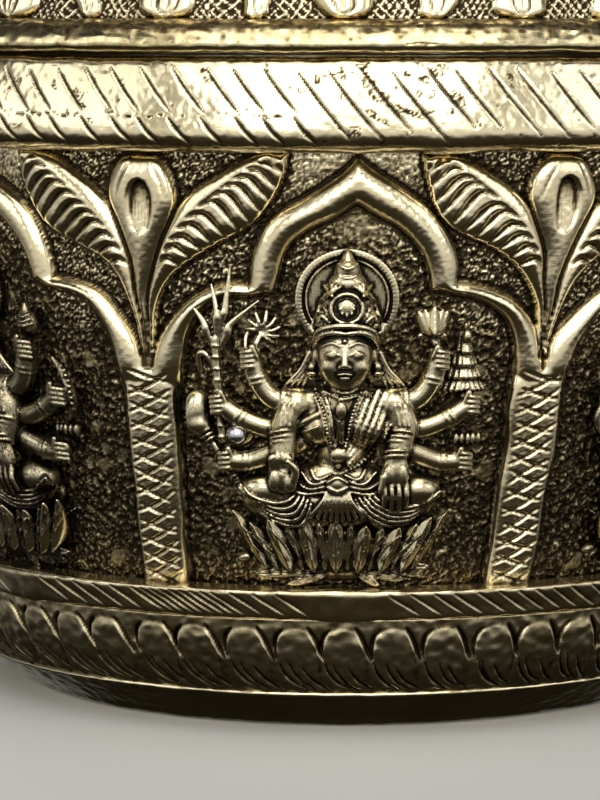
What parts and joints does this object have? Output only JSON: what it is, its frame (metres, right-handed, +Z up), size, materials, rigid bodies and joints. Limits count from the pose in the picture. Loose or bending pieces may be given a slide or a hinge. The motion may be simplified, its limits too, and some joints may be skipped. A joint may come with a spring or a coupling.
{
  "type": "brass kalash pot",
  "caption": "Round-bellied brass ritual water pot with arched niches, seated deity plaques, banded shoulder, narrow neck and flared mouth.",
  "frame": {"origin": "centre of the foot, on the surface the pot stands on", "axes": "+Z up along the pot's axis; -Y out through the middle of the first panel, +X to its right"},
  "size_m": [0.2556, 0.2556, 0.24],
  "materials": {
    "aged_brass": "chased, rubbed bright on the high points over dark patina",
    "polished_brass": "burnished smooth with fine scratches",
    "figure_brass": "cast and lightly rubbed over dark patina",
    "steel": "polished ball head"
  },
  "bodies": {
    "root": {"base_plate": "aged_brass", "belly_shell": "aged_brass", "seam_roll_ring": "polished_brass", "shoulder_dome": "aged_brass", "neck_bead_ring": "polished_brass", "neck_collar": "aged_brass", "mouth_rim": "polished_brass", "deity_plaque_1_grain": "figure_brass", "deity_plaque_2_valour": "figure_brass", "deity_plaque_3_victory": "figure_brass", "deity_plaque_4_learning": "figure_brass", "deity_plaque_5_elephants": "figure_brass", "deity_plaque_6_children": "figure_brass", "deity_plaque_7_wealth": "figure_brass", "deity_plaque_8_lotus": "figure_brass", "plaque_rivet_1": "steel", "plaque_rivet_2": "steel", "plaque_rivet_3": "steel", "plaque_rivet_4": "steel", "plaque_rivet_5": "steel", "plaque_rivet_6": "steel", "plaque_rivet_7": "steel", "plaque_rivet_8": "steel"}
  },
  "joints": []
}
